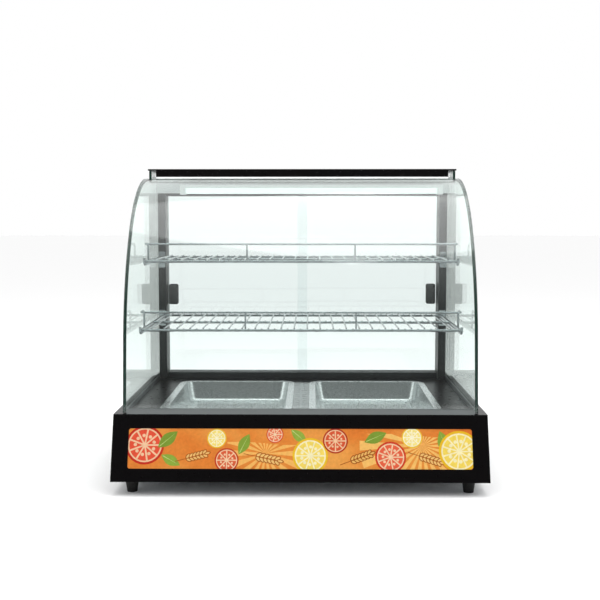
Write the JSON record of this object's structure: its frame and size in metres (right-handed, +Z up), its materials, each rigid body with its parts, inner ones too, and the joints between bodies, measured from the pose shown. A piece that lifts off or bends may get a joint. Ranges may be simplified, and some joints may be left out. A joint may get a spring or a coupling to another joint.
{
  "type": "curved glass food warmer",
  "caption": "Counter-top heated display cabinet with a curved glass front, wire shelves, lift-out pans over a water tank, sliding rear doors and a back-lit front panel.",
  "frame": {"origin": "bottom centre of the whole object's box, on the surface that the feet stand on", "axes": "+Z up, +X to the right seen from the customer's side, -Y towards the customer and the curved glass"},
  "size_m": [0.66, 0.4976, 0.5823],
  "materials": {
    "black_enamel": "gloss black stoved enamel on sheet steel",
    "printed_acrylic": null,
    "white_enamel": "white reflector enamel",
    "led_board": "white circuit board with diodes",
    "tank_steel": "plain stainless sheet",
    "element_steel": "heat-tinted stainless tube",
    "pan_steel": "deep-drawn polished stainless",
    "galvanised_sheet": "galvanised sheet",
    "foot_rubber": "black moulded rubber",
    "zinc_screws": "zinc-plated steel",
    "thermostat_steel": "plated thermostat case",
    "dial_aluminium": "printed aluminium dial",
    "black_knob": "moulded phenolic",
    "copper_probe": "copper capillary and bulb",
    "black_plastic": "moulded nylon",
    "red_rocker": "translucent red rocker",
    "green_rocker": "translucent green rocker",
    "red_lens": "moulded red lens",
    "amber_lens": "moulded amber lens",
    "terminal_ceramic": "unglazed ceramic",
    "driver_case": "white moulded case",
    "curved_glass": "bent tempered glass with dark green edges",
    "flat_glass": "tempered glass with polished edges",
    "door_glass": "tempered sliding glass",
    "grey_channel": "satin glazing channel",
    "white_seal": "white silicone strip",
    "black_post": "satin black enamel",
    "canopy_white": "satin light grey enamel",
    "dark_rail": "satin dark grey enamel",
    "white_batten": "white lamp batten",
    "white_holder": "white moulded holder",
    "lit_tube": "opal lamp tube",
    "chrome_wire": "bright chromed wire"
  },
  "bodies": {
    "cabinet": {"base_shell": "black_enamel", "print_panel": "printed_acrylic", "light_tray": "white_enamel", "led_strip": "led_board", "top_deck": "black_enamel", "water_tank": "tank_steel", "heating_element": "element_steel", "bottom_plate": "galvanised_sheet", "foot_front_left": "foot_rubber", "foot_front_right": "foot_rubber", "foot_rear_left": "foot_rubber", "foot_rear_right": "foot_rubber", "foot_screws": "zinc_screws", "rear_panel": "black_enamel", "panel_screws": "zinc_screws", "thermostat_body": "thermostat_steel", "dial_plate": "dial_aluminium", "thermostat_probe": "copper_probe", "power_switch_housing": "black_plastic", "light_switch_housing": "black_plastic", "power_indicator": "red_lens", "heat_indicator": "amber_lens", "cable_gland": "black_plastic", "terminal_block": "terminal_ceramic", "light_driver": "driver_case", "front_glass": "curved_glass", "side_glass_left": "flat_glass", "side_glass_right": "flat_glass", "front_glass_channel": "grey_channel", "side_channel_left": "grey_channel", "side_channel_right": "grey_channel", "top_cap": "black_enamel", "front_top_seal": "white_seal", "rear_post_left": "black_post", "rear_post_right": "black_post", "canopy_liner": "canopy_white", "door_header": "dark_rail", "door_sill": "dark_rail", "lamp_batten": "white_batten", "lamp_holders": "white_holder", "lamp_tube": "lit_tube", "shelf_upper": "chrome_wire", "shelf_upper_guard": "chrome_wire", "hanger_upper_left": "chrome_wire", "hanger_upper_right": "chrome_wire", "shelf_lower": "chrome_wire", "shelf_lower_guard": "chrome_wire", "hanger_lower_left": "chrome_wire", "hanger_lower_right": "chrome_wire"},
    "door_left": {"door_glass_left": "door_glass", "door_handle_left": "black_plastic"},
    "door_right": {"door_glass_right": "door_glass", "door_handle_right": "black_plastic"},
    "pan_left": {"pan_left": "pan_steel"},
    "pan_right": {"pan_right": "pan_steel"},
    "knob": {"thermostat_knob": "black_knob", "thermostat_spindle": "zinc_screws"},
    "power_rocker": {"power_switch_rocker": "red_rocker"},
    "light_rocker": {"light_switch_rocker": "green_rocker"}
  },
  "joints": [
    {"name": "door_left_slide", "type": "slide", "parent": "cabinet", "child": "door_left", "axis": [1, 0, 0], "range_m": [0, 0.279]},
    {"name": "door_right_slide", "type": "slide", "parent": "cabinet", "child": "door_right", "axis": [-1, 0, 0], "range_m": [0, 0.279]},
    {"name": "pan_left_lift", "type": "slide", "parent": "cabinet", "child": "pan_left", "axis": [0, 0, 1], "range_m": [0, 0.07]},
    {"name": "pan_right_lift", "type": "slide", "parent": "cabinet", "child": "pan_right", "axis": [0, 0, 1], "range_m": [0, 0.07]},
    {"name": "thermostat_turn", "type": "hinge", "parent": "cabinet", "child": "knob", "pos_m": [0.12, 0.23125, 0.083], "axis": [0, -1, 0], "range_deg": [0, 270]},
    {"name": "power_rocker_tilt", "type": "hinge", "parent": "cabinet", "child": "power_rocker", "pos_m": [0.02, 0.23025, 0.083], "axis": [1, 0, 0], "range_deg": [0, 16]},
    {"name": "light_rocker_tilt", "type": "hinge", "parent": "cabinet", "child": "light_rocker", "pos_m": [-0.04, 0.23025, 0.083], "axis": [1, 0, 0], "range_deg": [0, 16]}
  ]
}
